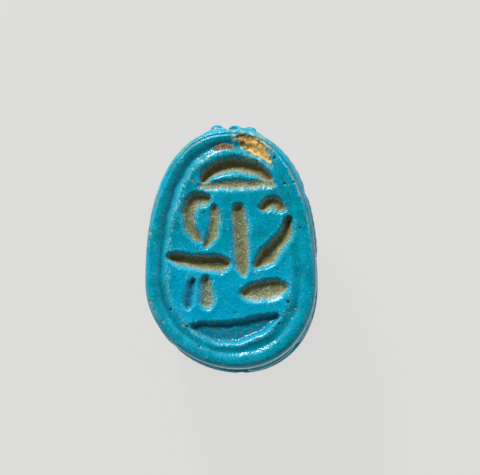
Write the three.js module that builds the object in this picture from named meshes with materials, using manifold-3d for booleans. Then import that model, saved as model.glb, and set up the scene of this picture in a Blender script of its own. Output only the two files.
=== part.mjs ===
// A glazed faience scarab amulet, one solid piece, lying on its back with the carved underside up.
// Millimetres, +Z up. The beetle's head points to +Y. The origin lies under the middle of the
// amulet, on the surface that its back rests on.
import * as THREE from "three";
import { mergeVertices } from "three/addons/utils/BufferGeometryUtils.js";
import Module from "manifold-3d";

const wasm = await Module();
wasm.setup();

// The base plate, an egg-shaped oval that is pointed towards the head.
const PLATE_LENGTH = 16.5;
const PLATE_WIDTH = 11.7;
const PLATE_THICKNESS = 1.5;
const WIDEST_TO_REAR = 5.95;
const FRONT_POWER = 2.36;
const REAR_POWER = 2.02;
const TAIL_SWING = 0.5;
const RIM_ROUNDING = 0.32;

// The body: the height of the whole amulet, the legs' channel and the domed back.
const HEIGHT = 7.4;
const LEG_CHANNEL_DEPTH = 0.5;
const LEG_CHANNEL_HEIGHT = 1.9;
const BACK_LIP = 0.15;
const BACK_INSET = 0.06;
const PRONOTUM_SETBACK = 1.9;
const SIDE_POWER = 2;
const BACK_REAR_POWER = 2.2;
const BACK_FRONT_POWER = 1.9;
const LEG_RADIUS = 0.5;
const JOINT_SHARE = 0.7;

// The small flat spot that the domed back rests on, kept under the centre of mass.
const REST_WIDTH = 2.2;
const REST_TO_FRONT = 2.9;
const REST_TO_REAR = 0.7;

// The head, with the three notched lobes that stand out past the base plate.
const HEAD_OVERHANG = 0.75;
const HEAD_WIDTH = 4.6;
const HEAD_LENGTH = 3.4;
const HEAD_BELOW_PLATE = 1.2;
const HEAD_THICKNESS = 1.1;
const HEAD_SLOPE = 0.36;
const LOBE_COUNT = 3;
const LOBE_RADIUS = 0.52;
const LOBE_PITCH = 1.16;
const EYE_RADIUS = 0.62;

// Carved lines.
const FRAME_LINE_INSET = 1.02;
const FRAME_LINE_WIDTH = 0.7;
const FRAME_LINE_DEPTH = 0.32;
const BACK_LINE_RADIUS = 0.2;
const NOTCH_RADIUS = 0.3;
const SHOULDER_SHARE = 0.63;
const STROKE_DEPTH = 0.58;
const FLOOR_SHARE = 0.5;
const CHIP_DEPTH = 0.36;

// The chip's place and half size on the underside, as shares of the plate's half width and half
// length, and its turn in degrees.
const CHIP = { across: 0.27, along: 0.85, length: 0.26, width: 0.14, turn: -38 };

// The lengthwise hole for a thread.
const THREAD_HOLE_RADIUS = 0.65;
const THREAD_HOLE_BELOW_PLATE = 0.8;

// How finely the curved forms are cut.
const EGG_SECTORS = 60;
const BACK_STEPS = 10;
const BAR_SIDES = 8;
const LINE_STEPS = 10;
const OVERCUT = 0.25;

const rearY = -(PLATE_LENGTH + HEAD_OVERHANG) / 2;
const plateFrontY = rearY + PLATE_LENGTH;
const plateMiddleY = rearY + PLATE_LENGTH / 2;
const widestY = rearY + WIDEST_TO_REAR;
const halfWidth = PLATE_WIDTH / 2;
const frontLength = PLATE_LENGTH - WIDEST_TO_REAR;
const legBottom = PLATE_THICKNESS + LEG_CHANNEL_HEIGHT;
const backTop = legBottom + BACK_LIP;

const degrees = THREE.MathUtils.degToRad;
const mix = THREE.MathUtils.lerp;

// The closed mesh as a solid, and the solid as a mesh again.
function solidOf(geometry) {
  geometry.deleteAttribute("normal");
  geometry.deleteAttribute("uv");
  const merged = mergeVertices(geometry, 1e-4);
  const mesh = new wasm.Mesh({
    numProp: 3,
    vertProperties: new Float32Array(merged.attributes.position.array),
    triVerts: new Uint32Array(merged.index.array),
  });
  return new wasm.Manifold(mesh);
}

function geometryOf(solid) {
  const mesh = solid.getMesh();
  const geometry = new THREE.BufferGeometry();
  geometry.setAttribute("position", new THREE.BufferAttribute(mesh.vertProperties, 3));
  geometry.setIndex(new THREE.BufferAttribute(mesh.triVerts, 1));
  geometry.computeVertexNormals();
  return geometry;
}

// A skin over rings of points. It is closed by a fan at each end, or joined end to end as a hoop.
// Seen from outside, each ring runs counter-clockwise about the direction towards the first ring.
function skinOver(rings, hoop = false) {
  const count = rings[0].length;
  const points = rings.flat();
  const faces = [];
  const last = hoop ? rings.length : rings.length - 1;
  for (let k = 0; k < last; k++) {
    const upper = k * count;
    const lower = ((k + 1) % rings.length) * count;
    for (let i = 0; i < count; i++) {
      const j = (i + 1) % count;
      faces.push(upper + i, lower + i, lower + j, upper + i, lower + j, upper + j);
    }
  }
  if (!hoop) {
    for (const [ring, start, turned] of [
      [rings[0], 0, false],
      [rings.at(-1), last * count, true],
    ]) {
      const middle = points.length;
      points.push(ring.reduce((sum, p) => sum.add(p), new THREE.Vector3()).divideScalar(count));
      for (let i = 0; i < count; i++) {
        const pair = [start + i, start + ((i + 1) % count)];
        faces.push(middle, ...(turned ? pair.reverse() : pair));
      }
    }
  }
  const geometry = new THREE.BufferGeometry().setFromPoints(points);
  geometry.setIndex(faces);
  return geometry;
}

// How far the hand-shaped outline swings to the right, which grows towards the tail end.
function tailSwing(y) {
  return TAIL_SWING * (Math.min(0, y - widestY) / WIDEST_TO_REAR) ** 2;
}

// A point of the egg outline: 0 degrees is the right side, 90 the head end.
function eggPoint(angle, width, front, rear, depth) {
  const across = Math.cos(angle);
  const along = Math.sin(angle);
  const share = 2 / (along >= 0 ? FRONT_POWER : REAR_POWER);
  const reach = along >= 0 ? front : rear;
  const x = width * Math.sign(across) * Math.abs(across) ** share;
  const y = widestY + reach * Math.sign(along) * Math.abs(along) ** share;
  return new THREE.Vector3(x + tailSwing(y), y, HEIGHT - depth);
}

function eggRing(width, front, rear, depth) {
  const step = (2 * Math.PI) / EGG_SECTORS;
  return Array.from({ length: EGG_SECTORS }, (_, i) => eggPoint(i * step, width, front, rear, depth));
}

function platePoint(angle, inset, depth) {
  return eggPoint(angle, halfWidth - inset, frontLength - inset, WIDEST_TO_REAR - inset, depth);
}

function plateRing(depth, inset) {
  return eggRing(halfWidth - inset, frontLength - inset, WIDEST_TO_REAR - inset, depth);
}

// The domed back's width and reach at a share of its height, from its lower edge to the flat spot.
function backSizes(share) {
  const falling = (power) => Math.max(0, 1 - share ** power) ** (1 / power);
  return {
    width: mix(REST_WIDTH / 2, halfWidth - BACK_INSET, falling(SIDE_POWER)),
    front: mix(REST_TO_FRONT, frontLength - PRONOTUM_SETBACK, falling(BACK_FRONT_POWER)),
    rear: mix(REST_TO_REAR, WIDEST_TO_REAR - BACK_INSET, falling(BACK_REAR_POWER)),
    depth: mix(backTop, HEIGHT, share),
  };
}

// The point of the domed back that lies over a place on the plan.
function backPoint(x, y) {
  let [low, high] = [0, 1];
  for (let pass = 0; pass < 30; pass++) {
    const share = (low + high) / 2;
    const at = backSizes(share);
    const along = y - widestY;
    const power = along >= 0 ? FRONT_POWER : REAR_POWER;
    const reach = along >= 0 ? at.front : at.rear;
    const across = x - tailSwing(y);
    const outside = Math.abs(across / at.width) ** power + Math.abs(along / reach) ** power > 1;
    [low, high] = outside ? [low, share] : [share, high];
  }
  return new THREE.Vector3(x, y, HEIGHT - backSizes(low).depth);
}

// The plate, the channel that the legs lie in and the domed back, as one skin of egg-shaped rings.
function bodyBlank() {
  const rings = [];
  for (let angle = 0; angle <= 90; angle += 30) {
    const turn = degrees(angle);
    rings.push(plateRing(RIM_ROUNDING * (1 - Math.cos(turn)), RIM_ROUNDING * (1 - Math.sin(turn))));
  }
  const chamfer = RIM_ROUNDING / 2;
  rings.push(plateRing(PLATE_THICKNESS - chamfer, 0));
  rings.push(plateRing(PLATE_THICKNESS, chamfer));
  rings.push(plateRing(PLATE_THICKNESS + chamfer, LEG_CHANNEL_DEPTH));
  rings.push(plateRing(legBottom, LEG_CHANNEL_DEPTH));
  for (let step = 0; step <= BACK_STEPS; step++) {
    const { width, front, rear, depth } = backSizes(Math.sin((step / BACK_STEPS) * (Math.PI / 2)));
    rings.push(eggRing(width, front, rear, depth));
  }
  return solidOf(skinOver(rings));
}

// The head: a wedge with rounded lobes at its tip, thicker towards the back, and two eyes.
function head() {
  const tipY = plateFrontY + HEAD_OVERHANG;
  const backY = tipY - HEAD_LENGTH;
  const cheekY = mix(backY, tipY, 0.45);
  const shoulderY = tipY - LOBE_RADIUS * 1.4;
  const cheek = HEAD_WIDTH / 2;
  const lobesEdge = ((LOBE_COUNT - 1) / 2) * LOBE_PITCH + LOBE_RADIUS;
  const plan = new THREE.Shape();
  plan.moveTo(cheek * 0.85, backY);
  plan.quadraticCurveTo(cheek * 1.15, cheekY, lobesEdge, shoulderY);
  for (let i = LOBE_COUNT - 1; i >= 0; i--) {
    const middle = (i - (LOBE_COUNT - 1) / 2) * LOBE_PITCH;
    plan.absarc(middle, tipY - LOBE_RADIUS, LOBE_RADIUS, 0, Math.PI, false);
  }
  plan.lineTo(-lobesEdge, shoulderY);
  plan.quadraticCurveTo(-cheek * 1.15, cheekY, -cheek * 0.85, backY);
  const wedge = new THREE.ExtrudeGeometry(plan, {
    depth: HEAD_THICKNESS,
    bevelEnabled: false,
    curveSegments: 4,
  });
  const bottom = HEIGHT - PLATE_THICKNESS - HEAD_BELOW_PLATE - HEAD_THICKNESS;
  const place = wedge.attributes.position;
  for (let i = 0; i < place.count; i++) {
    const drop = place.getZ(i) === 0 ? HEAD_SLOPE * (tipY - place.getY(i)) : 0;
    place.setZ(i, place.getZ(i) + bottom - drop);
  }
  const crown = new THREE.SphereGeometry(HEAD_LENGTH / 2, 14, 10);
  crown.scale(0.95, 1, 0.8);
  crown.translate(0, mix(backY, tipY, 0.28), bottom - HEAD_SLOPE * HEAD_LENGTH * 0.2);
  const eyes = [-1, 1].map((side) => {
    const eye = new THREE.SphereGeometry(EYE_RADIUS, 12, 8);
    eye.scale(0.8, 1.3, 1.1);
    return eye.translate(side * cheek * 0.97, mix(backY, tipY, 0.27), bottom - EYE_RADIUS * 0.6);
  });
  return [wedge, crown, ...eyes].map(solidOf);
}

// A round bar along a path, narrowed at both ends to a share of its radius, used for the legs and,
// as a cutter, for engraved lines. The path is roughly square to the direction given all along.
function roundBar(points, radius, stations, square, ends) {
  const curve = new THREE.CatmullRomCurve3(points);
  const rings = Array.from({ length: stations }, (_, i) => {
    const share = i / (stations - 1);
    const at = curve.getPoint(share);
    const ahead = curve.getTangent(share);
    const across = new THREE.Vector3().crossVectors(ahead, square).normalize();
    const up = new THREE.Vector3().crossVectors(across, ahead);
    const size = radius * mix(ends, 1, Math.sqrt(1 - Math.abs(2 * share - 1) ** 5));
    return Array.from({ length: BAR_SIDES }, (_, k) => {
      const turn = (k / BAR_SIDES) * 2 * Math.PI;
      const outward = across.clone().multiplyScalar(Math.cos(turn)).addScaledVector(up, Math.sin(turn));
      return outward.multiplyScalar(size).add(at);
    });
  });
  return solidOf(skinOver(rings));
}

// Each leg is folded at the knee, and lies along the side from one angle of the egg to another.
// Depths are shares of the channel's height, and insets are measured in from the plate's edge.
const LEGS = [
  { angles: [8, 34, 76], deep: [0.95, 0.42, 0.5], insets: [0.5, 0.42, 0.36], thick: 1.1 },
  { angles: [8, -8, -32], deep: [0.95, 0.3, 0.64], insets: [0.5, 0.48, 0.46], thick: 0.9 },
  { angles: [-22, -44, -84], deep: [0.92, 0.3, 0.6], insets: [0.48, 0.46, 0.42], thick: 1 },
];

function leg({ angles, deep, insets, thick }, side) {
  const STEPS = 6;
  const segment = (k) => {
    const path = Array.from({ length: STEPS + 1 }, (_, i) => {
      const along = ([from, to]) => mix(from, to, i / STEPS);
      const ends = (values) => values.slice(k, k + 2);
      const depth = PLATE_THICKNESS + LEG_CHANNEL_HEIGHT * along(ends(deep));
      const angle = degrees(along(ends(angles)));
      return platePoint(side > 0 ? angle : Math.PI - angle, along(ends(insets)), depth);
    });
    return roundBar(path, LEG_RADIUS * thick, 8, new THREE.Vector3(0, 0, 1), JOINT_SHARE);
  };
  return [segment(0), segment(1)];
}

// The lines on the back: the seam between the wing cases, the line that parts them from the
// pronotum, and a short notch on each shoulder.
function backLines() {
  const frontOfBack = widestY + frontLength - PRONOTUM_SETBACK;
  const overBack = (share) => mix(rearY, frontOfBack, share);
  const shares = Array.from({ length: LINE_STEPS + 1 }, (_, i) => i / LINE_STEPS);
  const shoulderLine = shares.map((share) => {
    const across = mix(-0.9, 0.9, share);
    return backPoint(across * halfWidth, overBack(SHOULDER_SHARE) - 0.5 * across ** 2);
  });
  const seam = shares.map((share) => {
    const y = overBack(mix(SHOULDER_SHARE, 0.02, share));
    return backPoint(tailSwing(y), y);
  });
  const acrossBack = new THREE.Vector3(1, 0, 0);
  const alongBack = new THREE.Vector3(0, 1, 0);
  const lines = [
    roundBar(shoulderLine, BACK_LINE_RADIUS, 17, alongBack, 0.4),
    roundBar(seam, BACK_LINE_RADIUS, 15, acrossBack, 0.4),
  ];
  for (const side of [-1, 1]) {
    const notch = [0, 0.5, 1].map((share) => {
      const across = side * halfWidth * mix(0.52, 0.68, share);
      return backPoint(across, overBack(SHOULDER_SHARE - mix(0.045, 0.16, share)));
    });
    lines.push(roundBar(notch, NOTCH_RADIUS, 6, acrossBack, 0.2));
  }
  return lines;
}

// The oval line that frames the carved field, cut as a hoop with sloping walls.
function frameLine() {
  const half = FRAME_LINE_WIDTH / 2;
  const section = [
    [-half * 1.7, -OVERCUT],
    [half * 0.1, FRAME_LINE_DEPTH * 0.8],
    [half * 0.35, FRAME_LINE_DEPTH],
    [half * 0.6, FRAME_LINE_DEPTH * 0.8],
    [half * 1.3, -OVERCUT],
  ];
  const rings = section.map(([across, depth]) => plateRing(depth, FRAME_LINE_INSET + across));
  return solidOf(skinOver(rings, true));
}

// The sunk strokes of the underside, in rows from the head end down. They are plain marks, not signs.
// Each has points (across, along) as shares of the plate's half width and half length, a width at
// each point as a share of the half width, and a depth as a share of STROKE_DEPTH.
const STROKES = [
  {
    path: [[-0.32, 0.575], [-0.2, 0.65], [0.04, 0.69], [0.28, 0.655], [0.46, 0.585]],
    widths: [0.1, 0.16, 0.17, 0.16, 0.12],
    deep: 1,
  },
  { path: [[-0.34, 0.53], [0.08, 0.535], [0.5, 0.545]], widths: [0.1, 0.12, 0.1], deep: 0.55 },
  {
    path: [[-0.27, 0.41], [-0.41, 0.395], [-0.48, 0.29], [-0.46, 0.17], [-0.37, 0.07]],
    widths: [0.15, 0.2, 0.18, 0.14, 0.08],
    deep: 0.85,
  },
  {
    path: [[-0.19, 0.34], [-0.18, 0.22], [-0.21, 0.11], [-0.29, 0.02]],
    widths: [0.1, 0.13, 0.12, 0.07],
    deep: 0.6,
  },
  {
    path: [[0.1, 0.33], [0.12, 0.12], [0.13, -0.05], [0.15, -0.2]],
    widths: [0.18, 0.19, 0.19, 0.15],
    deep: 0.75,
  },
  { path: [[0.38, 0.335], [0.5, 0.375], [0.61, 0.335]], widths: [0.11, 0.14, 0.12], deep: 0.8 },
  {
    path: [[0.33, -0.14], [0.44, -0.075], [0.56, 0.02], [0.65, 0.12], [0.685, 0.23]],
    widths: [0.18, 0.22, 0.19, 0.15, 0.09],
    deep: 1,
  },
  { path: [[-0.69, -0.075], [-0.42, -0.12], [-0.06, -0.14]], widths: [0.13, 0.17, 0.21], deep: 1 },
  { path: [[-0.46, -0.29], [-0.51, -0.47]], widths: [0.1, 0.18], deep: 0.35 },
  { path: [[-0.26, -0.27], [-0.24, -0.47]], widths: [0.12, 0.26], deep: 0.55 },
  { path: [[0.17, -0.385], [0.4, -0.365], [0.62, -0.335]], widths: [0.18, 0.26, 0.2], deep: 0.75 },
  {
    path: [[-0.42, -0.665], [-0.22, -0.72], [0.04, -0.725], [0.32, -0.67], [0.56, -0.57]],
    widths: [0.17, 0.26, 0.28, 0.22, 0.08],
    deep: 0.9,
  },
];

// One stroke's cutter: five-sided sections across its path, narrowed at both ends.
function strokeCutter({ path, widths, deep }) {
  const STATIONS = 12;
  const places = path.map(
    ([across, along]) => new THREE.Vector3(across * halfWidth, plateMiddleY + (along * PLATE_LENGTH) / 2, 0),
  );
  const curve = new THREE.CatmullRomCurve3(places);
  const depth = STROKE_DEPTH * deep;
  const rings = Array.from({ length: STATIONS }, (_, i) => {
    const share = i / (STATIONS - 1);
    const at = curve.getPoint(share);
    const ahead = curve.getTangent(share);
    const side = new THREE.Vector3(-ahead.y, ahead.x, 0).normalize();
    const place = share * (widths.length - 1);
    const before = Math.min(Math.floor(place), widths.length - 2);
    const end = Math.sqrt(Math.max(0, 1 - Math.abs(2 * share - 1) ** 6)) * 0.75 + 0.25;
    const half = mix(widths[before], widths[before + 1], place - before) * halfWidth * 0.5 * end;
    const reach = depth * (0.5 + 0.5 * end);
    const flare = half * (1 + (1 - FLOOR_SHARE) * (OVERCUT / reach));
    return [
      [flare, -OVERCUT],
      [half * FLOOR_SHARE * 1.1, reach * 0.85],
      [0, reach],
      [-half * FLOOR_SHARE * 1.1, reach * 0.85],
      [-flare, -OVERCUT],
    ].map(([across, down]) => at.clone().addScaledVector(side, across).setZ(HEIGHT - down));
  });
  return solidOf(skinOver(rings));
}

// A flake lost from the rim beside the head, which shows the pale core.
function rimChip() {
  const flake = new THREE.IcosahedronGeometry(1, 2);
  flake.scale(CHIP.length * halfWidth, CHIP.width * halfWidth, CHIP_DEPTH * 2);
  flake.rotateZ(degrees(CHIP.turn));
  const x = CHIP.across * halfWidth;
  const y = plateMiddleY + (CHIP.along * PLATE_LENGTH) / 2;
  flake.translate(x, y, HEIGHT + CHIP_DEPTH);
  return solidOf(flake);
}

function threadHole() {
  const hole = new THREE.CylinderGeometry(THREAD_HOLE_RADIUS, THREAD_HOLE_RADIUS, PLATE_LENGTH * 1.5, 20);
  hole.translate(0, 0, HEIGHT - PLATE_THICKNESS - THREAD_HOLE_BELOW_PLATE);
  return solidOf(hole);
}

function scarabSolid() {
  const joined = [...head(), ...[-1, 1].flatMap((side) => LEGS.flatMap((shape) => leg(shape, side)))];
  const cuts = [frameLine(), ...STROKES.map(strokeCutter), ...backLines(), rimChip(), threadHole()];
  const whole = joined.reduce((sum, piece) => sum.add(piece), bodyBlank());
  return cuts.reduce((rest, cutter) => rest.subtract(cutter), whole);
}

const glaze = new THREE.MeshStandardMaterial({ color: 0x0a9bb8, roughness: 0.3, metalness: 0 });
const scarab = new THREE.Mesh(geometryOf(scarabSolid()), glaze);
scarab.name = "scarab";

const amulet = new THREE.Group();
amulet.add(scarab);

export default amulet;
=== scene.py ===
import math

import bpy
import numpy as np
from mathutils import Matrix, Vector, noise


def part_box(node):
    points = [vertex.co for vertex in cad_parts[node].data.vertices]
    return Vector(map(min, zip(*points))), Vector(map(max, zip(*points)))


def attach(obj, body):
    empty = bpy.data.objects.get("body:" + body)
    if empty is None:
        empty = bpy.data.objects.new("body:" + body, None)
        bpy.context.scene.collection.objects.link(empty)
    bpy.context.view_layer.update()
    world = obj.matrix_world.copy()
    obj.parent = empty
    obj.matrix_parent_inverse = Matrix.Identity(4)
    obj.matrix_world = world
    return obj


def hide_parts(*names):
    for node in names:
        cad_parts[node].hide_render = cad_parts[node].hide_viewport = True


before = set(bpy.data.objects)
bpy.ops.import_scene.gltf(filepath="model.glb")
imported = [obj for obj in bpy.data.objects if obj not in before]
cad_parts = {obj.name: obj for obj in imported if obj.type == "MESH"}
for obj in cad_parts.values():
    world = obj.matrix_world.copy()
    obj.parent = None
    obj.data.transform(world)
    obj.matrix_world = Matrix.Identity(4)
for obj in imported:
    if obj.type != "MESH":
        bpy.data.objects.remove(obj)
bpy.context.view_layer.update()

# Sizes, in millimetres until the piece is finished, and then in metres.
MM = 0.001
low, high = (np.array(corner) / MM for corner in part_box("scarab"))
WIDTH, LENGTH, HEIGHT = high - low

# The base plate, and the egg outline that is pointed towards the head.
HEAD_OVERHANG = 0.75
PLATE_LENGTH = LENGTH - HEAD_OVERHANG
PLATE_THICKNESS = 1.5
WIDEST_TO_REAR = 5.95
FRONT_POWER = 2.36
REAR_POWER = 2.02
TAIL_SWING = 0.5
RIM_ROUNDING = 0.42
HALF_WIDTH = WIDTH / 2
FRONT_LENGTH = PLATE_LENGTH - WIDEST_TO_REAR
REAR_Y = -LENGTH / 2
WIDEST_Y = REAR_Y + WIDEST_TO_REAR
PLATE_MIDDLE_Y = REAR_Y + PLATE_LENGTH / 2
PLATE_FRONT_Y = REAR_Y + PLATE_LENGTH

# The channel that the legs lie in, and the domed back.
CHANNEL_DEPTH = 0.5
CHANNEL_HEIGHT = 1.9
BACK_LIP = 0.15
BACK_INSET = 0.06
BACK_TOP = PLATE_THICKNESS + CHANNEL_HEIGHT + BACK_LIP
PRONOTUM_SETBACK = 1.9
SIDE_POWER = 2.0
BACK_REAR_POWER = 2.2
BACK_FRONT_POWER = 1.9
REST_WIDTH = 2.2
REST_TO_FRONT = 2.9
REST_TO_REAR = 0.7

# The rings that the blank is made of: their shares of the flat face, and how many go round the
# rim and over the back. The edges between plate, channel and back are rounded a little.
FLAT_RINGS = (0.12, 0.35, 0.6, 0.8)
RIM_RINGS = 7
BACK_RINGS = 25
SECTORS = 144
EDGE_ROUNDING = 0.16

# The legs. Each part of a leg has LEG_END of its full radius at its ends and swells to the middle,
# and each notch takes NOTCH_POINTS points of its path.
LEG_RADIUS = 0.5
LEG_END = 0.72
LEG_NOTCHES = 8
NOTCH_POINTS = 4
BAR_RESOLUTION = 5

# The head, and the three teeth at its front, each with its place across and how far its end lies
# from the tip. Bars run to them from the middle of the head, where they start lower and a little
# wider apart. The brow is a bar below the plate's front edge.
HEAD_WIDTH = 4.6
HEAD_LENGTH = 3.4
HEAD_THICKNESS = 1.1
HEAD_DEPTH = PLATE_THICKNESS + 1.2
CROWN_SIZES = (1.62, 1.7, 1.36)
CROWN_FORWARD = 0.3
CROWN_DROP = 0.25
EYE_SIZES = (0.52, 0.82, 0.7)
EYES_APART = 0.47
EYES_FORWARD = 0.27
EYE_DROP = 0.12
TEETH = ((-1.08, 0.0), (0.12, -0.03), (1.1, -0.14))
TOOTH_SIZE = (0.95, 1.6, HEAD_THICKNESS)
TOOTH_ROUNDING = 0.38
TOOTH_TURN = -0.1
FAN_RADII = (0.95, 0.86, 0.72, 0.58, 0.4)
FAN_SPREAD = 1.25
FAN_AHEAD = 0.6
FAN_DROP = 0.55
BROW = ((-3.0, 1.1), (-1.75, 0.1), (-0.6, 0.0), (0.6, 0.0), (1.65, 0.15), (2.9, 1.2))
BROW_DEPTH = PLATE_THICKNESS + 0.55
BROW_RADII = (0.21, 0.42, 0.42, 0.42, 0.42, 0.21)
TIP_Y = PLATE_FRONT_Y + HEAD_OVERHANG

# The carved lines of the underside. Lines cut by hand stray a little from their path. The slopes'
# widths and the ridge's place are counted from the deepest part of the frame line, in halves of
# its width, and its outer slope gets steeper with a power.
STRAY = 0.09
FRAME_LINE_WIDTH = 0.84
FRAME_LINE_DEPTH = 0.26
OUTER_SLOPE = 1.7
OUTER_POWER = 2.3
INNER_SLOPE = 1.15
RIDGE_PLACE = 1.4

# At angles counted in degrees from the right side: how much of the frame line's depth is left, and
# how far inside the outline it is deepest.
FRAME_LINE = (
    (-180, 0.75, 1.05),
    (-135, 0.65, 1.1),
    (-90, 0.62, 1.11),
    (-45, 0.55, 1.12),
    (0, 0.25, 1.16),
    (45, 0.35, 1.15),
    (90, 0.8, 1.12),
    (135, 1.0, 1.12),
    (180, 0.75, 1.05),
)
RIDGE_HEIGHT = 0.09
RIDGE_WIDTH = 0.28
FIELD_DEPTH = 0.07

# The strokes: their depth, the share of their width at their ends, the rounding of their edges, the
# width of their walls, the low lip round them, the steps between two points of their path, and how
# softly one side's wall changes to the other's.
STROKE_DEPTH = 0.58
STROKE_END = 0.6
STROKE_ROUNDING = 0.2
WALL_WIDTH = 0.42
LIP_HEIGHT = 0.01
PATH_STEPS = 12
MIDDLE_BLUR = 0.1

# The fine line near the plate's edge and its bevel, which is centred on an angle in degrees.
EDGE_LINE_DEPTH = 0.07
EDGE_LINE_WIDTH = 0.05
BEVEL_MIDDLE = 78

# How uneven the underside is, in broad swells, lumps and grain, and how deep its damage goes.
SWELLS = 0.05
LUMPS = 0.025
GRAIN = 0.006
FLOOR_ROUGHNESS = 0.035
CHIP_DEPTH = 0.17
CHIP_ROUGHNESS = 0.06
SCAR_HEIGHT = 0.04
SCAR_ROUGHNESS = 0.05
PIT_DEPTHS = {"dark_pit": 0.09, "brown_pit": 0.04}

# The lines on the back: a seam, a bowed double line at the shoulders, and a notch behind each
# shoulder. They end LINES_TO_FRONT behind the plate's front. The notch's two ends are given as the
# share of the half width and the millimetres behind the shoulders.
BACK_LINE_WIDTH = 0.3
BACK_LINE_DEPTH = 0.14
SHOULDER_SHARE = 0.63
SHOULDER_BOW = 0.5
SECOND_LINE_BEHIND = 0.55
LINES_TO_FRONT = 3
SHOULDER_NOTCH = ((0.52, 0.9), (0.66, 2.6))
SHOULDER_NOTCH_WIDTH = 0.2
SHOULDER_NOTCH_DEEPER = 1.2

# The hole for a thread.
THREAD_HOLE_RADIUS = 0.65
THREAD_HOLE_DEPTH = PLATE_THICKNESS + 0.8

# The fineness of the finished skin. A hollow or an edge is told from the surroundings within
# HOLLOW_REACH, and counts in full at HOLLOW_DEPTH or EDGE_HEIGHT. A face belongs to the underside
# where its normal points up by more than FACES_UP.
VOXEL = 0.072
FIRST_VOXEL = VOXEL * 1.25
TRIANGLES = 190000
HOLLOW_REACH = 0.3
HOLLOW_DEPTH = 0.09
EDGE_HEIGHT = 0.05
FACES_UP = 0.3


# Small tools for modelling.

def deselect():
    if bpy.context.object and bpy.context.object.mode != "OBJECT":
        bpy.ops.object.mode_set(mode="OBJECT")
    bpy.ops.object.select_all(action="DESELECT")


def alone(piece):
    deselect()
    piece.select_set(True)
    bpy.context.view_layer.objects.active = piece


def places(piece):
    found = np.empty(len(piece.data.vertices) * 3)
    piece.data.vertices.foreach_get("co", found)
    return found.reshape(-1, 3)


def normals(piece):
    found = np.empty(len(piece.data.vertices) * 3)
    piece.data.vertex_normals.foreach_get("vector", found)
    return found.reshape(-1, 3)


def move_to(piece, points):
    piece.data.vertices.foreach_set("co", points.ravel())
    piece.data.update()


def store(piece, name, mask, where=slice(None)):
    """Keeps a mask on the mesh for the material, at all the vertices or at some."""
    values = np.zeros(len(piece.data.vertices), dtype=np.float32)
    values[where] = mask
    piece.data.attributes.new(name, "FLOAT", "POINT").data.foreach_set("value", values)


def finish_with(piece, kind, **settings):
    """Adds a modifier with its settings and applies it."""
    alone(piece)
    modifier = piece.modifiers.new(kind.title(), kind)
    for key, value in settings.items():
        setattr(modifier, key, value)
    bpy.ops.object.modifier_apply(modifier=modifier.name)


def smooth_step(low_edge, high_edge, value):
    share = np.clip((value - low_edge) / (high_edge - low_edge), 0, 1)
    return share * share * (3 - 2 * share)


def bell(value, middle, width):
    return np.exp(-(((value - middle) / width) ** 2))


def noise_at(points, grain, seed, octaves=1):
    """Soft noise between about -1 and 1, whose blobs are about `grain` millimetres across."""
    shift = Vector((seed * 17.3, seed * 5.1, seed * 9.7))
    if octaves == 1:
        return np.array([noise.noise(Vector(p) / grain + shift) for p in points])
    return np.array(
        [noise.fractal(Vector(p) / grain + shift, 0.9, 2.1, octaves) for p in points]
    )


# The egg outline.

def signed_power(value, power):
    return np.sign(value) * np.abs(value) ** power


def tail_swing(y):
    """How far the hand-shaped outline swings to the right, which grows towards the tail end."""
    return TAIL_SWING * (np.minimum(0, y - WIDEST_Y) / WIDEST_TO_REAR) ** 2


def egg(angle, width, front, rear):
    """The outline's point at an angle: 0 is the right side and a quarter turn the head end."""
    along = np.sin(angle)
    share = 2 / np.where(along >= 0, FRONT_POWER, REAR_POWER)
    y = WIDEST_Y + np.where(along >= 0, front, rear) * signed_power(along, share)
    return width * signed_power(np.cos(angle), share) + tail_swing(y), y


def plate_point(angle, inset, depth):
    x, y = egg(angle, HALF_WIDTH - inset, FRONT_LENGTH - inset, WIDEST_TO_REAR - inset)
    return np.array([float(x), float(y), HEIGHT - depth])


def inset_at(x, y):
    """How far inside the base plate's outline each place on the plan lies."""
    along = y - WIDEST_Y
    across = x - tail_swing(y)
    power = np.where(along >= 0, FRONT_POWER, REAR_POWER)
    reach = np.where(along >= 0, FRONT_LENGTH, WIDEST_TO_REAR)

    # The range that the inset lies in is halved again and again.
    low_inset = np.full(x.shape, -1.5)
    high_inset = np.full(x.shape, HALF_WIDTH - 0.05)
    halvings = 22
    for _ in range(halvings):
        inset = (low_inset + high_inset) / 2
        across_share = np.abs(across / (HALF_WIDTH - inset)) ** power
        outside = across_share + np.abs(along / (reach - inset)) ** power > 1
        high_inset = np.where(outside, inset, high_inset)
        low_inset = np.where(outside, low_inset, inset)
    return low_inset


def back_sizes(share):
    """The domed back's half width and reaches at a share of its height."""
    def falling(power):
        return max(0.0, 1 - share**power) ** (1 / power)

    def between(rest, edge, power):
        return rest + (edge - rest) * falling(power)

    return (
        BACK_TOP + (HEIGHT - BACK_TOP) * share,
        between(REST_WIDTH / 2, HALF_WIDTH - BACK_INSET, SIDE_POWER),
        between(REST_TO_FRONT, FRONT_LENGTH - PRONOTUM_SETBACK, BACK_FRONT_POWER),
        between(REST_TO_REAR, WIDEST_TO_REAR - BACK_INSET, BACK_REAR_POWER),
    )


# The blank: a sphere whose rings are pulled onto the plate, the channel and the back.

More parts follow.
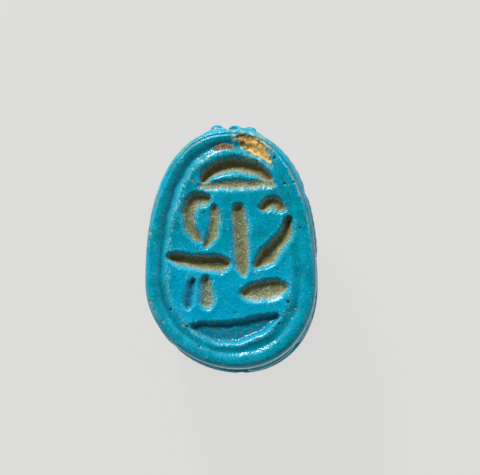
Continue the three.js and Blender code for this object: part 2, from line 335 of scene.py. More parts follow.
def blank_rings():
    """Depth, half width and the two reaches of each ring, from the underside's middle to the back."""
    def plate_ring(depth, inset):
        return depth, HALF_WIDTH - inset, FRONT_LENGTH - inset, WIDEST_TO_REAR - inset

    rings = []
    for share in FLAT_RINGS:
        _, width, front, rear = plate_ring(0, RIM_ROUNDING)
        rings.append((0, width * share, front * share, rear * share))
    for step in range(RIM_RINGS):
        turn = step / (RIM_RINGS - 1) * math.pi / 2
        depth = RIM_ROUNDING * (1 - math.cos(turn))
        rings.append(plate_ring(depth, RIM_ROUNDING * (1 - math.sin(turn))))
    rings.append(plate_ring(PLATE_THICKNESS - EDGE_ROUNDING * 1.6, 0.02))
    rings.append(plate_ring(PLATE_THICKNESS, EDGE_ROUNDING))
    rings.append(plate_ring(PLATE_THICKNESS + EDGE_ROUNDING, CHANNEL_DEPTH))
    rings.append(plate_ring(BACK_TOP - EDGE_ROUNDING * 1.6, CHANNEL_DEPTH))
    for step in range(BACK_RINGS):
        rings.append(back_sizes(math.sin(step / (BACK_RINGS - 1) * math.pi / 2)))
    return rings


def make_blank():
    rings = blank_rings()
    bpy.ops.mesh.primitive_uv_sphere_add(segments=SECTORS, ring_count=len(rings) + 1)
    blank = bpy.context.object
    points = places(blank)
    angle = np.arctan2(points[:, 1], points[:, 0])
    polar = np.arccos(np.clip(points[:, 2], -1, 1))
    ring_index = np.rint(polar / math.pi * (len(rings) + 1)).astype(int)
    for number, (depth, width, front, rear) in enumerate(rings, start=1):
        here = ring_index == number
        x, y = egg(angle[here], width, front, rear)
        points[here] = np.column_stack([x, y, np.full(x.shape, HEIGHT - depth)])
    points[ring_index == 0] = (0, WIDEST_Y, HEIGHT)
    points[ring_index == len(rings) + 1] = (0, WIDEST_Y, 0)
    move_to(blank, points)
    return blank


def make_bar(points, radii):
    """A round bar along a path of five points or more, with a radius at each."""
    bpy.ops.curve.primitive_nurbs_path_add(radius=1, location=(0, 0, 0))
    bar = bpy.context.object
    spline = bar.data.splines[0]
    spline.points.add(len(points) - len(spline.points))
    for place, point, radius in zip(spline.points, points, radii):
        place.co = (*point, 1)
        place.radius = radius
    spline.order_u = 4
    spline.use_endpoint_u = True
    bar.data.bevel_depth = 1
    bar.data.bevel_resolution = BAR_RESOLUTION
    bar.data.use_fill_caps = True
    bpy.ops.object.convert(target="MESH")
    return bpy.context.object


# Each leg is folded at the knee: its three points have an angle in degrees from the right side, a
# depth as a share of the channel's height, and an inset in millimetres. Thick is a share of the
# legs' radius, and notches are how deep the small notches are, as a share of the leg's own radius.
LEGS = [
    {
        "angles": (8, 34, 76),
        "deep": (0.95, 0.4, 0.36),
        "insets": (0.5, 0.42, 0.36),
        "thick": 1.1,
        "notches": 0.09,
    },
    {
        "angles": (8, -8, -32),
        "deep": (0.95, 0.3, 0.64),
        "insets": (0.5, 0.48, 0.46),
        "thick": 0.9,
        "notches": 0.07,
    },
    {
        "angles": (-22, -44, -84),
        "deep": (0.92, 0.3, 0.6),
        "insets": (0.48, 0.46, 0.42),
        "thick": 1.0,
        "notches": 0.05,
    },
]


def leg_path(leg, segment, side, share):
    """A point of one of the leg's two segments."""
    def along(values):
        return values[segment] + (values[segment + 1] - values[segment]) * share

    depth = PLATE_THICKNESS + CHANNEL_HEIGHT * along(leg["deep"])
    angle = math.radians(along(leg["angles"]))
    return plate_point(angle if side > 0 else math.pi - angle, along(leg["insets"]), depth)


def make_leg(leg, side):
    """The leg's two segments, with small notches across them."""
    bars = []
    for segment in (0, 1):
        shares = np.linspace(0, 1, LEG_NOTCHES * NOTCH_POINTS + 1)
        points = [leg_path(leg, segment, side, share) for share in shares]
        swollen = LEG_END + (1 - LEG_END) * np.sqrt(1 - np.abs(2 * shares - 1) ** 5)
        in_notch = np.arange(len(shares)) % NOTCH_POINTS == NOTCH_POINTS // 2
        notched = 1 - leg["notches"] * in_notch
        bars.append(make_bar(points, LEG_RADIUS * leg["thick"] * swollen * notched))
    return bars


def make_ball(place, sizes):
    """An egg-shaped ball, with its three radii."""
    bpy.ops.mesh.primitive_uv_sphere_add(segments=32, ring_count=20, location=place, scale=sizes)
    bpy.ops.object.transform_apply(location=True, rotation=True, scale=True)
    return bpy.context.object


def make_tooth(across, back, depth):
    """One flat tooth with rounded edges, turned a little outwards."""
    bpy.ops.mesh.primitive_cube_add(size=1, rotation=(0, 0, TOOTH_TURN * across))
    tooth = bpy.context.object
    tooth.scale = TOOTH_SIZE
    tooth.location = (across, TIP_Y + back - TOOTH_SIZE[1] / 2, HEIGHT - depth)
    bpy.ops.object.transform_apply(location=True, rotation=True, scale=True)
    finish_with(tooth, "BEVEL", width=TOOTH_ROUNDING, segments=4)
    return tooth


def make_head():
    """The head between the legs: a fan with three teeth, a crown and two eyes."""
    made = []
    middle_y = TIP_Y - HEAD_LENGTH
    depth = HEAD_DEPTH + HEAD_THICKNESS / 2
    for across, back in TEETH:
        tip = (across, TIP_Y - TOOTH_SIZE[1] / 2 + back, HEIGHT - depth)
        root = (across * FAN_SPREAD, middle_y + FAN_AHEAD, HEIGHT - depth - FAN_DROP)
        points = [Vector(root).lerp(Vector(tip), share) for share in (0, 0.25, 0.5, 0.75, 1)]
        made += [make_bar(points, FAN_RADII), make_tooth(across, back, depth)]
    brow = [(x, PLATE_FRONT_Y - back, HEIGHT - BROW_DEPTH) for x, back in BROW]
    made.append(make_bar(brow, BROW_RADII))
    crown_z = HEIGHT - HEAD_DEPTH - HEAD_THICKNESS - CROWN_DROP
    made.append(make_ball((0, middle_y + HEAD_LENGTH * CROWN_FORWARD, crown_z), CROWN_SIZES))
    eye_y = middle_y + HEAD_LENGTH * EYES_FORWARD
    for side in (-1, 1):
        place = (side * HEAD_WIDTH * EYES_APART, eye_y, crown_z - EYE_DROP)
        made.append(make_ball(place, EYE_SIZES))
    return made


def make_thread_hole():
    bpy.ops.mesh.primitive_cylinder_add(
        vertices=48,
        radius=THREAD_HOLE_RADIUS,
        depth=LENGTH * 1.4,
        location=(0, 0, HEIGHT - THREAD_HOLE_DEPTH),
        rotation=(math.pi / 2, 0, 0),
    )
    return bpy.context.object


def remesh(piece, voxel):
    alone(piece)
    piece.data.remesh_voxel_size = voxel
    piece.data.remesh_voxel_adaptivity = 0
    bpy.ops.object.voxel_remesh()


def make_uncarved():
    """The blank with its legs and head, pierced, as one even skin."""
    deselect()
    blank = make_blank()
    added = make_head() + [bar for side in (-1, 1) for leg in LEGS for bar in make_leg(leg, side)]
    deselect()
    for piece in added:
        piece.select_set(True)
    blank.select_set(True)
    bpy.context.view_layer.objects.active = blank
    bpy.ops.object.join()
    remesh(blank, FIRST_VOXEL)
    hole = make_thread_hole()
    finish_with(blank, "BOOLEAN", operation="DIFFERENCE", object=hole, solver="EXACT")
    bpy.data.objects.remove(hole)
    remesh(blank, VOXEL)
    finish_with(blank, "SMOOTH", factor=0.5, iterations=6)
    return blank


# Carving.

# The sunk strokes, in rows from the head end down. They are plain marks, not signs. Places are
# shares of the plate's half width and half length, widths are shares of its half width, and deep is
# a share of the strokes' depth. Earth is how much brown deposit each holds. Wall is how wide its
# sloping wall is, where that isn't 1.
STROKES = [
    {
        "path": ((-0.32, 0.575), (-0.2, 0.65), (0.04, 0.69), (0.28, 0.655), (0.46, 0.585)),
        "widths": (0.1, 0.16, 0.17, 0.16, 0.12),
        "deep": 1.0,
        "earth": 1.0,
    },
    {
        "path": ((-0.34, 0.522), (0.08, 0.525), (0.5, 0.535)),
        "widths": (0.1, 0.11, 0.1),
        "deep": 0.42,
        "earth": 0.75,
    },
    {
        "path": ((-0.27, 0.41), (-0.41, 0.395), (-0.48, 0.29), (-0.46, 0.17), (-0.37, 0.07)),
        "widths": (0.15, 0.2, 0.18, 0.14, 0.08),
        "deep": 0.85,
        "earth": 0.7,
    },
    {
        "path": ((-0.19, 0.34), (-0.18, 0.22), (-0.21, 0.11), (-0.29, 0.02)),
        "widths": (0.1, 0.13, 0.12, 0.07),
        "deep": 0.6,
        "earth": 0.75,
    },
    {
        "path": ((0.1, 0.33), (0.12, 0.12), (0.13, -0.05), (0.15, -0.2)),
        "widths": (0.18, 0.19, 0.19, 0.15),
        "deep": 0.75,
        "earth": 0.9,
    },
    {
        "path": ((0.38, 0.335), (0.5, 0.375), (0.61, 0.335)),
        "widths": (0.11, 0.14, 0.12),
        "deep": 0.8,
        "earth": 0.95,
    },
    {
        "path": ((0.33, -0.14), (0.44, -0.075), (0.56, 0.02), (0.65, 0.12), (0.685, 0.23)),
        "widths": (0.18, 0.22, 0.19, 0.15, 0.09),
        "deep": 1.0,
        "earth": 0.95,
    },
    {
        "path": ((-0.69, -0.075), (-0.42, -0.12), (-0.06, -0.14)),
        "widths": (0.13, 0.17, 0.21),
        "deep": 1.0,
        "earth": 1.0,
    },
    {
        "path": ((-0.44, -0.28), (-0.465, -0.38), (-0.5, -0.48)),
        "widths": (0.09, 0.12, 0.15),
        "deep": 0.6,
        "earth": 0.0,
    },
    {
        "path": ((-0.28, -0.26), (-0.275, -0.35), (-0.27, -0.47)),
        "widths": (0.13, 0.16, 0.2),
        "deep": 0.75,
        "earth": 0.5,
    },
    {
        "path": ((0.17, -0.385), (0.4, -0.365), (0.62, -0.335)),
        "widths": (0.18, 0.26, 0.2),
        "deep": 0.75,
        "earth": 0.8,
    },
    {
        "path": ((-0.42, -0.66), (-0.22, -0.705), (0.04, -0.71), (0.32, -0.655), (0.54, -0.57)),
        "widths": (0.15, 0.24, 0.27, 0.22, 0.08),
        "deep": 0.7,
        "earth": 0.0,
        "wall": 0.6,
    },
]

# The flake lost from the rim beside the head, and the small rough scar in the frame line.
CHIP = {
    "path": (
        (0.115, 0.918),
        (0.18, 0.892),
        (0.258, 0.865),
        (0.33, 0.834),
        (0.39, 0.79),
        (0.462, 0.726),
    ),
    "widths": (0.12, 0.14, 0.19, 0.19, 0.14, 0.035),
}
SCAR = {
    "path": ((-0.19, 0.832), (-0.09, 0.85), (0.035, 0.842)),
    "widths": (0.06, 0.075, 0.065),
}

# Burst bubbles and grains in the glaze: place in shares of the plate, and radius in millimetres.
DARK_PITS = (
    (0.523, 0.753, 0.1),
    (0.641, 0.532, 0.09),
    (0.746, 0.543, 0.08),
    (0.677, -0.452, 0.12),
    (0.566, -0.636, 0.09),
    (-0.692, -0.508, 0.09),
    (-0.363, -0.823, 0.08),
    (0.82, 0.16, 0.07),
    (0.06, -0.54, 0.06),
    (-0.3, 0.3, 0.05),
    (-0.506, -0.653, 0.08),
)
BROWN_PITS = (
    (-0.943, 0.13, 0.13),
    (0.694, 0.624, 0.08),
    (-0.443, 0.564, 0.08),
    (0.76, -0.51, 0.08),
    (0.68, -0.546, 0.07),
    (0.72, -0.587, 0.08),
    (0.524, -0.492, 0.06),
    (-0.55, -0.64, 0.11),
    (-0.78, -0.614, 0.1),
    (-0.93, -0.449, 0.09),
    (0.29, -0.2, 0.09),
    (-0.1, -0.2, 0.08),
    (-0.03, 0.16, 0.06),
)


def on_plate(path):
    """Shares of the plate as millimetres."""
    return np.array([(x * HALF_WIDTH, PLATE_MIDDLE_Y + y * PLATE_LENGTH / 2) for x, y in path])


def through(points):
    """A smooth line of points through the given ones."""
    ends = np.vstack([2 * points[0] - points[1], points, 2 * points[-1] - points[-2]])
    line = []
    for a, b, c, d in zip(ends, ends[1:], ends[2:], ends[3:]):
        for t in np.arange(PATH_STEPS) / PATH_STEPS:
            line.append(
                0.5 * (2 * b + (c - a) * t + (2 * a - 5 * b + 4 * c - d) * t**2
                       + (3 * b - a - 3 * c + d) * t**3)
            )
    return np.array(line + [points[-1]])


def along_line(x, y, line):
    """Each place's distance to the line, the share of the line at its nearest point, and how much
    the place lies on the tail end's side of it, which changes softly across the line."""
    place = np.column_stack([x, y])[:, None, :]
    start, step = line[:-1], np.diff(line, axis=0)
    share = np.clip(((place - start) * step).sum(2) / (step**2).sum(1), 0, 1)
    away = place - (start + share[..., None] * step)
    distance = np.sqrt((away**2).sum(2))
    nearest = distance.argmin(1)
    row = np.arange(len(nearest))
    reach = distance[row, nearest]
    below = -away[row, nearest, 1] / (reach + MIDDLE_BLUR)
    return reach, (nearest + share[row, nearest]) / len(step), below


def inside_stroke(x, y, stroke):
    """How far inside the stroke's edge each place lies, in millimetres, its half width there, and
    how much the place lies on the tail end's side of its middle."""
    distance, share, below = along_line(x, y, through(on_plate(stroke["path"])))
    widths = stroke["widths"]
    rounded = np.sqrt(np.clip(1 - np.abs(2 * share - 1) ** 10, 0, 1)) * (1 - STROKE_END) + STROKE_END
    half = np.interp(share, np.linspace(0, 1, len(widths)), widths) * HALF_WIDTH * 0.5 * rounded
    return half - distance, half, below


def face_depths(points):
    """The depth carved at each vertex of the underside, and the masks for its finish."""
    x, y = points[:, 0].copy(), points[:, 1].copy()
    plan = np.column_stack([x, y, np.zeros(len(x))])
    wavy_x = x + STRAY * noise_at(plan, grain=0.7, seed=1)
    wavy_y = y + STRAY * noise_at(plan, grain=0.7, seed=2)
    broad = noise_at(plan, grain=2.6, seed=3)
    lumpy = noise_at(plan, grain=0.8, seed=4)
    grainy = noise_at(plan, grain=0.22, seed=5)
    rough = noise_at(plan, grain=0.3, seed=6, octaves=3)
    masks = {}

    # The rim is a low pillow, which falls more and more steeply into the frame line. That is worn
    # away most on the right side, and a low ridge runs along its inner side.
    inset = inset_at(wavy_x, wavy_y)
    angle = np.arctan2(y - PLATE_MIDDLE_Y, x)
    angles, shares, insets = np.transpose(FRAME_LINE)
    left = np.interp(np.degrees(angle), angles, shares)
    deepest = np.interp(np.degrees(angle), angles, insets)
    half_line = FRAME_LINE_WIDTH / 2
    line = smooth_step(deepest - half_line * OUTER_SLOPE, deepest, inset) ** OUTER_POWER
    line *= 1 - smooth_step(deepest, deepest + half_line * INNER_SLOPE, inset)
    depth = FRAME_LINE_DEPTH * left * line
    depth += FIELD_DEPTH * smooth_step(deepest, deepest + half_line, inset)
    ridge = bell(inset, deepest + half_line * RIDGE_PLACE, RIDGE_WIDTH)
    depth -= RIDGE_HEIGHT * (0.3 + 0.7 * left) * ridge
    depth += SWELLS * broad + LUMPS * lumpy + GRAIN * grainy
    # Pale specks along the ridge's crest, strongest where the frame line is deepest: partly the
    # glaze's own specks, partly painted glints.
    masks["crest_specks_and_glints"] = bell(inset, deepest + half_line * 1.2, 0.18) * left
    masks["bright"] = smooth_step(1.0, -2.6, y) * smooth_step(1.2, 1.9, inset)

    # A fine line, half filled with dirt, parts the rim from its bevelled edge round the head end.
    bevelled = smooth_step(-0.2, 0.35, np.cos(angle - math.radians(BEVEL_MIDDLE)))
    bevelled *= 1 - 0.5 * smooth_step(85, 125, np.degrees(angle))
    from_edge = inset_at(x, y) + 0.02 * lumpy
    line_inset = 0.15 + 0.21 * smooth_step(0.2, 0.95, np.sin(angle))
    edge_line = bell(from_edge, line_inset, EDGE_LINE_WIDTH) * bevelled
    raised = bell(from_edge, line_inset + 0.14, 0.08) * bevelled
    depth += EDGE_LINE_DEPTH * edge_line - 0.03 * raised
    masks["line_dirt"] = edge_line * smooth_step(-0.5, 0.2, lumpy)
    # Painted highlight: a broken row of pale glints just inside the fine line.
    lit = bell(from_edge, line_inset + 0.1, EDGE_LINE_WIDTH) * bevelled
    masks["painted_line_glints"] = lit * smooth_step(-0.5, 0.3, rough)

    # The strokes. Their walls slope more gently on the tail end's side, and where they hold little
    # earth.
    earth = np.zeros(len(x))
    sunk = np.zeros(len(x))
    for stroke in STROKES:
        inside, half, below = inside_stroke(wavy_x, wavy_y, stroke)
        gentle = WALL_WIDTH * (1.25 - 0.25 * stroke["earth"]) * stroke.get("wall", 1)
        wall = np.minimum(gentle * (1 + 0.6 * below), half * (0.85 + 0.25 * below))
        cut = smooth_step(-STROKE_ROUNDING, wall, inside)
        floor = STROKE_DEPTH * stroke["deep"] + FLOOR_ROUGHNESS * rough
        depth = np.where(cut > 0, np.maximum(depth * (1 - cut) + floor * cut, depth), depth)
        depth -= LIP_HEIGHT * bell(inside, -0.28, 0.18) * stroke["deep"]
        sunk = np.maximum(sunk, cut * smooth_step(0.2, 0.9, stroke["deep"]))
        held = smooth_step(-0.08, wall * 0.8, inside + 0.07 * rough)
        earth = np.maximum(earth, stroke["earth"] * held)
    masks["earth"] = earth
    masks["sunk"] = sunk

    # The chip, with stains inside it and grime and cracked glaze round it, and the scar.
    inside, _, _ = inside_stroke(wavy_x + 0.2 * rough, wavy_y + 0.14 * lumpy, CHIP)
    lost = smooth_step(-0.03, 0.08, inside)
    masks["chip"] = lost
    masks["stained"] = lost * smooth_step(1.7, 0.7, x) * smooth_step(-0.35, 0.2, rough)
    masks["shattered"] = bell(inside, -0.06, 0.14) * smooth_step(0.1, 0.6, rough)
    round_chip = bell(inside, -0.25, 0.3) * smooth_step(-0.1, 0.5, lumpy + rough)
    worn_rim = bell(from_edge, 0.1, 0.4) * smooth_step(0.0, 0.5, broad) * (0.6 - 0.4 * np.cos(angle))
    masks["grimy"] = np.maximum(round_chip, 0.5 * worn_rim)
    depth += lost * (CHIP_DEPTH + CHIP_ROUGHNESS * rough)
    inside, _, _ = inside_stroke(x + 0.05 * rough, y + 0.05 * lumpy, SCAR)
    masks["scar"] = smooth_step(-0.03, 0.06, inside)
    depth += masks["scar"] * (SCAR_ROUGHNESS * rough - SCAR_HEIGHT)

    for name, pits in (("dark_pit", DARK_PITS), ("brown_pit", BROWN_PITS)):
        mask = np.zeros(len(x))
        for across, along, radius in pits:
            pit_x, pit_y = on_plate([(across, along)])[0]
            mask = np.maximum(mask, bell(np.hypot(x - pit_x, y - pit_y), 0, radius))
        masks[name] = mask
        depth += PIT_DEPTHS[name] * mask
    return depth, masks


def back_depths(points):
    """How deep the lines on the back are cut at each vertex."""
    x, y = points[:, 0], points[:, 1]
    front_y = WIDEST_Y + FRONT_LENGTH - PRONOTUM_SETBACK
    shoulder_y = REAR_Y + SHOULDER_SHARE * (front_y - REAR_Y) - SHOULDER_BOW * (x / HALF_WIDTH) ** 2
    ahead = y - shoulder_y
    line = bell(ahead, 0, BACK_LINE_WIDTH / 2)
    line = np.maximum(line, 0.7 * bell(ahead, -SECOND_LINE_BEHIND, BACK_LINE_WIDTH / 2))
    seam = bell(x - tail_swing(y), 0, BACK_LINE_WIDTH / 2) * smooth_step(0, -0.5, ahead)
    line = np.maximum(line, seam)
    for side in (-1, 1):
        notch = np.array(
            [
                (side * HALF_WIDTH * across, shoulder_y.mean() - behind)
                for across, behind in SHOULDER_NOTCH
            ]
        )
        distance, share, _ = along_line(x, y, through(notch))
        cut = bell(distance, 0, SHOULDER_NOTCH_WIDTH * (1.1 - share))
        line = np.maximum(line, SHOULDER_NOTCH_DEEPER * cut)
    return BACK_LINE_DEPTH * line


def carve(piece):
    """Carves the underside downwards and the back inwards, and stores the masks."""
    points = places(piece)
    facing = normals(piece)
    on_face = (points[:, 2] > HEIGHT - RIM_ROUNDING) & (facing[:, 2] > FACES_UP)
    depth, masks = face_depths(points[on_face])
    points[on_face, 2] -= depth
    domed = (points[:, 2] < HEIGHT - BACK_TOP) & (facing[:, 2] < FACES_UP)
    domed &= points[:, 1] < PLATE_FRONT_Y - LINES_TO_FRONT
    points[domed] -= facing[domed] * back_depths(points[domed])[:, None]
    move_to(piece, points)
    for name, mask in masks.items():
        store(piece, name, mask, on_face)

    # The upright sides, which get painted shade that darkens them, and the brown stain at the feet of
    # the teeth, more on the left.
    upright = smooth_step(0.5, 0.1, np.abs(facing[:, 2]))
    store(piece, "side", upright * smooth_step(0.55, 0.9, np.abs(points[:, 0]) / HALF_WIDTH))
    foot = bell(points[:, 1], PLATE_FRONT_Y + 0.42, 0.12) * (points[:, 2] < HEIGHT - BROW_DEPTH)
    store(piece, "tooth_foot", foot * smooth_step(0.9, -0.6, points[:, 0]))


def store_hollows(piece):
    """Finds hollows and edges: vertices that lie inside or outside their smoothed surroundings."""
    mesh = piece.data
    ends = np.empty(len(mesh.edges) * 2, dtype=int)
    mesh.edges.foreach_get("vertices", ends)
    pairs = ends.reshape(-1, 2)
    first, second = np.concatenate([pairs, pairs[:, ::-1]]).T
    count = len(mesh.vertices)
    neighbours = np.bincount(first, minlength=count)
    points = places(piece)
    smoothed = points
    for _ in range(round((HOLLOW_REACH / VOXEL) ** 2)):
        sums = [
            np.bincount(first, weights=smoothed[second, axis], minlength=count) for axis in range(3)
        ]
        smoothed = np.column_stack(sums) / neighbours[:, None]
    inward = ((smoothed - points) * normals(piece)).sum(1)
    store(piece, "hollow", smooth_step(0.0, HOLLOW_DEPTH, inward))
    store(piece, "edge", smooth_step(0.0, EDGE_HEIGHT, -inward))


def lighten(piece):
    """Thins the mesh of the plain sides and back, and leaves the carved side as fine as it is."""
    plain = piece.vertex_groups.new(name="plain")
    sides = np.flatnonzero(places(piece)[:, 2] < HEIGHT - PLATE_THICKNESS / 2)
    plain.add(sides.tolist(), 1.0, "REPLACE")
    triangles_now = 2 * len(piece.data.polygons)
    ratio = min(1.0, TRIANGLES / triangles_now)
    finish_with(piece, "DECIMATE", ratio=ratio, vertex_group="plain")
    piece.vertex_groups.clear()


def make_amulet():
    amulet = make_uncarved()
    carve(amulet)
    store_hollows(amulet)
    lighten(amulet)
    move_to(amulet, places(amulet) * MM)
    amulet.name = amulet.data.name = "amulet"
    amulet.data.materials.clear()
    amulet.data.materials.append(glaze_material())
    alone(amulet)
    bpy.ops.object.shade_smooth()
    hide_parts("scarab")
    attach(amulet, "root")
    return amulet


# Materials.

def linear(hex_colour):
    """An sRGB hex colour as linear RGBA."""
    channels = [int(hex_colour[i:i + 2], 16) / 255 for i in (1, 3, 5)]
    return [c / 12.92 if c <= 0.04045 else ((c + 0.055) / 1.055) ** 2.4 for c in channels] + [1.0]


# The masks that carving and the search for hollows have stored on the mesh.
MASKS = (
    "earth",
    "sunk",
    "line_dirt",
    "painted_line_glints",
    "crest_specks_and_glints",
    "side",
    "tooth_foot",
    "chip",
    "stained",
    "grimy",
    "bright",
    "shattered",
    "scar",
    "dark_pit",
    "brown_pit",
    "hollow",
    "edge",
)

# Noises in the glaze: how many millimetres across their blobs are, and how much detail they have.
NOISES = {
    "clouds": (2.4, 2.0),
    "blotches": (0.7, 2.0),
    "crumbs": (0.28, 3.0),
    "speckle": (0.11, 2.0),
    "skin": (0.16, 3.0),
}

# How the glaze mirrors, how rough the glaze is and how rough the earth and the bare body, and how
# high, in millimetres, the waves of the glaze and the grain of its skin stand.
GLAZE_IOR = 1.5
GLAZE_SPECULAR = 0.25
GLAZE_ROUGHNESS = 0.19
EARTH_ROUGHNESS = 0.9
WAVE_HEIGHT = 0.02
SKIN_HEIGHT = 0.023

# The glaze's colours from the lowest layer up. Cover is a list of factors that are multiplied: a
# mask or noise, the range of it that counts, and the cover at the range's two ends.
PLAIN_GLAZE = "#00889a"
GLAZE_LAYERS = (
    {"colour": "#0094b1", "cover": [("clouds", 0.38, 0.62, 0, 1)]},
    {"colour": "#00a3bd", "cover": [("blotches", 0.5, 0.75, 0, 0.6)]},
    {"colour": "#006f86", "cover": [("blotches", 0.45, 0.25, 0, 0.6)]},
    {"colour": "#00a2ca", "cover": [("bright", 0, 1, 0, 0.6)]},
    # Painted shade: the upright sides darkened.
    {"colour": "#00697f", "cover": [("side", 0, 1, 0, 0.55)]},
    {"colour": "#005d74", "cover": [("hollow", 0, 1, 0, 0.75)]},
    {"colour": "#00667f", "cover": [("sunk", 0.2, 1, 0, 0.75)]},
    {"colour": "#0aa6c2", "cover": [("edge", 0.2, 1, 0, 0.18)]},
    # Near-white specks on the edges: partly the glaze's own specks, partly painted glints.
    {
        "colour": "#9fdbe2",
        "cover": [
            ("speckle", 0.58, 0.66, 0, 0.6),
            ("edge", 0.2, 1, 0, 1),
            ("blotches", 0.48, 0.6, 0, 1),
        ],
    },
    {"colour": "#6cc4cf", "cover": [("speckle", 0.67, 0.73, 0, 0.45), ("blotches", 0.54, 0.62, 0, 1)]},
    {"colour": "#005468", "cover": [("speckle", 0.44, 0.3, 0, 0.45)]},
    {"colour": "#173f40", "cover": [("speckle", 0.36, 0.31, 0, 0.9), ("crumbs", 0.5, 0.42, 0, 1)]},
    # Pale specks on the ridge's crest, partly the glaze's own, partly painted glints.
    {"colour": "#a3d2cf", "cover": [("crest_specks_and_glints", 0.2, 0.9, 0, 0.6), ("speckle", 0.52, 0.64, 0, 1)]},
    {"colour": "#837a3e", "cover": [("speckle", 0.63, 0.68, 0, 0.9), ("crumbs", 0.53, 0.59, 0, 1)]},
    {"colour": "#80583a", "cover": [("tooth_foot", 0.2, 0.8, 0, 0.9), ("crumbs", 0.34, 0.48, 0, 1)]},
    {"colour": "#8aa684", "cover": [("grimy", 0.1, 0.8, 0, 0.85), ("speckle", 0.4, 0.52, 0, 1)]},
    {"colour": "#666a42", "cover": [("sunk", 0.3, 0.9, 0, 0.75), ("speckle", 0.56, 0.66, 0, 1)]},
    {"colour": "#b0a988", "cover": [("earth", 0.05, 0.35, 0, 0.9), ("speckle", 0.46, 0.56, 0, 1)]},
    {"colour": "#7c8c64", "cover": [("earth", 0.3, 0.8, 0, 0.95), ("crumbs", 0.32, 0.5, 0.6, 1)]},
    {"colour": "#526040", "cover": [("earth", 0.4, 0.9, 0, 0.8), ("sunk", 0.75, 1, 0, 1)]},
    {"colour": "#6d5224", "cover": [("earth", 0.3, 1, 0, 0.8), ("crumbs", 0.5, 0.62, 0, 0.9)]},
    {"colour": "#b5b08e", "cover": [("earth", 0.2, 0.8, 0, 0.8), ("speckle", 0.54, 0.64, 0, 1)]},
    {"colour": "#2f3a1c", "cover": [("earth", 0.3, 1, 0, 0.7), ("speckle", 0.44, 0.34, 0, 1)]},
    {"colour": "#72885a", "cover": [("earth", 0.3, 1, 0, 0.75), ("hollow", 0.4, 0.9, 0, 1)]},
    {"colour": "#857645", "cover": [("earth", 0.3, 1, 0, 0.6), ("hollow", 0.8, 1, 0, 1)]},
    {"colour": "#80603a", "cover": [("earth", 0.4, 1, 0, 0.6), ("blotches", 0.48, 0.58, 0, 1)]},
    {"colour": "#807c74", "cover": [("line_dirt", 0.2, 0.8, 0, 0.8)]},
    # Painted highlight: pale glints beside the fine edge line.
    {"colour": "#bfd8d8", "cover": [("painted_line_glints", 0.3, 0.9, 0, 0.4)]},
    {"colour": "#a8d0cf", "cover": [("shattered", 0.1, 0.6, 0, 0.6)]},
    {"colour": "#eabf6e", "cover": [("chip", 0, 1, 0, 1)]},
    {"colour": "#a3763c", "cover": [("chip", 0, 1, 0, 1), ("crumbs", 0.52, 0.66, 0, 0.8)]},
    {"colour": "#5a4122", "cover": [("chip", 0, 1, 0, 1), ("speckle", 0.4, 0.32, 0, 0.85)]},
    {"colour": "#6f4c28", "cover": [("stained", 0.1, 0.8, 0, 0.85)]},
    {"colour": "#665033", "cover": [("scar", 0, 1, 0, 1)]},
    {"colour": "#a58f6c", "cover": [("scar", 0, 1, 0, 1), ("speckle", 0.52, 0.6, 0, 0.7)]},
    {"colour": "#38260f", "cover": [("scar", 0, 1, 0, 1), ("speckle", 0.44, 0.36, 0, 0.8)]},
    {
        "colour": "#b08a4e",
        "cover": [("brown_pit", 0.35, 0.6, 0, 0.95), ("speckle", 0.36, 0.48, 0.3, 1)],
    },
    {"colour": "#0c2424", "cover": [("dark_pit", 0.3, 0.6, 0, 0.95)]},
)


def add_node(tree, kind, settings=None, **inputs):
    """Adds a node. An input, called by its name or by i and its number, is given a value or
    another node's socket to be linked from."""
    node = tree.nodes.new(kind)
    for key, value in (settings or {}).items():
        setattr(node, key, value)
    for key, value in inputs.items():
        numbered = key[0] == "i" and key[1:].isdigit()
        socket = node.inputs[int(key[1:]) if numbered else key]
        if isinstance(value, bpy.types.NodeSocket):
            tree.links.new(value, socket)
        else:
            socket.default_value = value
    return node


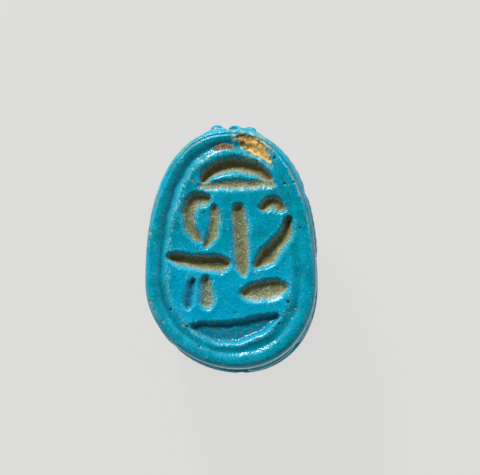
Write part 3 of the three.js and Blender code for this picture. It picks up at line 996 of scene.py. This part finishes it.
def glaze_material():
    """Faience: a thin alkaline glaze, coloured turquoise by copper, on a ground quartz body. It
    gives a glossy, slightly uneven skin, deeper in colour where it pooled in the hollows, with
    olive earth in the carving and the pale ochre body where a flake is lost."""
    material = bpy.data.materials.new("turquoise faience glaze")
    material.use_nodes = True
    tree = material.node_tree
    tree.nodes.clear()
    coords = add_node(tree, "ShaderNodeTexCoord").outputs["Object"]
    masks = {
        name: add_node(tree, "ShaderNodeAttribute", {"attribute_name": name}).outputs["Fac"]
        for name in MASKS
    }
    noises = {
        name: add_node(
            tree, "ShaderNodeTexNoise", Vector=coords, Scale=1 / (grain * MM), Detail=detail
        ).outputs["Fac"]
        for name, (grain, detail) in NOISES.items()
    }

    colour = linear(PLAIN_GLAZE)
    for layer in GLAZE_LAYERS:
        cover = None
        for source, low_edge, high_edge, low_value, high_value in layer["cover"]:
            factor = add_node(
                tree,
                "ShaderNodeMapRange",
                i0=masks.get(source) or noises[source],
                i1=low_edge,
                i2=high_edge,
                i3=low_value,
                i4=high_value,
            ).outputs[0]
            if cover is not None:
                factor = add_node(
                    tree, "ShaderNodeMath", {"operation": "MULTIPLY"}, i0=cover, i1=factor
                ).outputs[0]
            cover = factor
        above = linear(layer["colour"])
        colour = add_node(
            tree, "ShaderNodeMix", {"data_type": "RGBA"}, i0=cover, i6=colour, i7=above
        ).outputs[2]

    dull = masks["earth"]
    for name in ("chip", "scar"):
        dull = add_node(
            tree, "ShaderNodeMath", {"operation": "MAXIMUM"}, i0=dull, i1=masks[name]
        ).outputs[0]
    roughness = add_node(
        tree, "ShaderNodeMapRange", i0=dull, i3=GLAZE_ROUGHNESS, i4=EARTH_ROUGHNESS
    ).outputs[0]
    waves = add_node(
        tree, "ShaderNodeBump", Strength=1.0, Distance=WAVE_HEIGHT * MM, Height=noises["blotches"]
    ).outputs["Normal"]
    bump = add_node(
        tree,
        "ShaderNodeBump",
        Strength=1.0,
        Distance=SKIN_HEIGHT * MM,
        Height=noises["skin"],
        Normal=waves,
    ).outputs["Normal"]
    shader = add_node(
        tree, "ShaderNodeBsdfPrincipled", Roughness=roughness, Normal=bump, IOR=GLAZE_IOR
    )
    shader.inputs["Specular IOR Level"].default_value = GLAZE_SPECULAR
    tree.links.new(colour, shader.inputs["Base Color"])
    add_node(tree, "ShaderNodeOutputMaterial", Surface=shader.outputs["BSDF"])
    return material


def glass_material():
    """The opal glass of a light table, which glows evenly and takes hardly any shadow."""
    material = bpy.data.materials.new("opal glass")
    material.use_nodes = True
    shader = material.node_tree.nodes["Principled BSDF"]
    shader.inputs["Base Color"].default_value = linear("#2e2d2c")
    shader.inputs["Roughness"].default_value = 0.9
    shader.inputs["Emission Color"].default_value = linear("#dddddb")
    shader.inputs["Emission Strength"].default_value = 0.93
    return material


# The stage: floor, camera and light. The floor's size is in metres, and the window's place and size
# are in millimetres. The camera's frame is FRAME_MM wide at the underside, and FRAME_MIDDLE is how
# far to the right and to the head end its middle lies from the plate's. The two tilts, in degrees,
# are how far the camera stands over to the tail end and to the right.

FLOOR_SIZE = 2
WINDOW_PLACE = (-125, 325, 225)
WINDOW_SIZE = (85, 75)
WINDOW_WATTS = 2.15
FRAME_MM = 32.8
LENS = 400
SENSOR = 36
TILT_TO_REAR = 8.0
TILT_TO_RIGHT = 4.0
FRAME_MIDDLE = (0.68, 0.7)


def make_floor():
    bpy.ops.mesh.primitive_plane_add(size=FLOOR_SIZE, location=(0, 0, 0))
    floor = bpy.context.object
    floor.name = "floor"
    floor.data.materials.append(glass_material())


def aim(piece, target):
    """Turns a camera or a light towards a point, with the head end of the amulet upwards."""
    back = (piece.location - Vector(target)).normalized()
    right = Vector((0, 1, 0)).cross(back).normalized()
    piece.rotation_euler = Matrix((right, back.cross(right), back)).transposed().to_euler()


def make_camera():
    distance = FRAME_MM * MM * LENS / SENSOR
    target = Vector((FRAME_MIDDLE[0], PLATE_MIDDLE_Y + FRAME_MIDDLE[1], HEIGHT)) * MM
    right, rear = (math.tan(math.radians(tilt)) for tilt in (TILT_TO_RIGHT, TILT_TO_REAR))
    lean = Vector((right, -rear, 1))
    bpy.ops.object.camera_add(location=target + lean.normalized() * distance)
    camera = bpy.context.object
    camera.data.lens = LENS
    camera.data.sensor_width = SENSOR
    camera.data.clip_start = 0.01
    aim(camera, target)
    bpy.context.scene.camera = camera


def make_window():
    """The one lamp, a soft window up to the left, beyond the head end."""
    bpy.ops.object.light_add(type="AREA", location=Vector(WINDOW_PLACE) * MM)
    window = bpy.context.object
    window.name = "window"
    window.data.shape = "RECTANGLE"
    window.data.size, window.data.size_y = (side * MM for side in WINDOW_SIZE)
    window.data.energy = WINDOW_WATTS
    aim(window, (0, 0, HEIGHT * MM))


def make_studio():
    """White surroundings, bright low down, dark overhead, and dimmer at the tail end's side."""
    world = bpy.data.worlds.new("studio")
    bpy.context.scene.world = world
    world.use_nodes = True
    tree = world.node_tree
    direction = add_node(tree, "ShaderNodeTexCoord").outputs["Generated"]
    parts = add_node(tree, "ShaderNodeSeparateXYZ", Vector=direction)
    low_down = add_node(
        tree, "ShaderNodeMapRange", i0=parts.outputs["Z"], i1=0.1, i2=0.88, i3=1.9, i4=0.0
    )
    ahead = add_node(
        tree, "ShaderNodeMapRange", i0=parts.outputs["Y"], i1=-0.6, i2=0.4, i3=0.35, i4=1.0
    )
    brightness = add_node(
        tree, "ShaderNodeMath", {"operation": "MULTIPLY"}, i0=low_down.outputs[0], i1=ahead.outputs[0]
    )
    background = tree.nodes["Background"]
    background.inputs["Color"].default_value = linear("#f4f4f2")
    tree.links.new(brightness.outputs[0], background.inputs["Strength"])


make_amulet()
make_floor()
make_camera()
make_window()
make_studio()
bpy.context.scene.view_settings.view_transform = "Standard"
